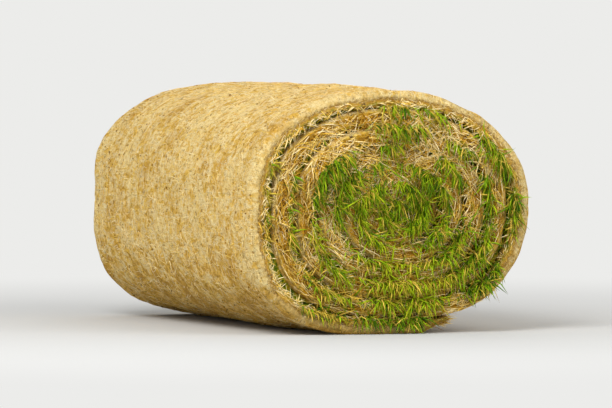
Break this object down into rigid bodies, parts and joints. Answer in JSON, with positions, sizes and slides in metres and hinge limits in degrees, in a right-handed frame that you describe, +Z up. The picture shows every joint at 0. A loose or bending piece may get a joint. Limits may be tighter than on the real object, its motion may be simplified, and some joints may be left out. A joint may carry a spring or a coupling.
{
  "type": "roll of turf",
  "caption": "Strip of grass turf rolled up with the grass inside: a squashed oval roll of fibrous root mat whose spiral of turns shows at both ends.",
  "frame": {"origin": "on the floor, under the middle of the roll", "axes": "+Z up; Y along the roll, which is across the strip; the end at -Y is the one that faces the picture's camera; +X to the right as that end is seen"},
  "size_m": [0.2554, 0.4, 0.2067],
  "materials": {
    "turf": "matte, fibrous root mat with soil, pale golden tan outside; the ends show orange-brown mat and green grass"
  },
  "bodies": {
    "root": {"turf_roll": "turf"}
  },
  "joints": []
}
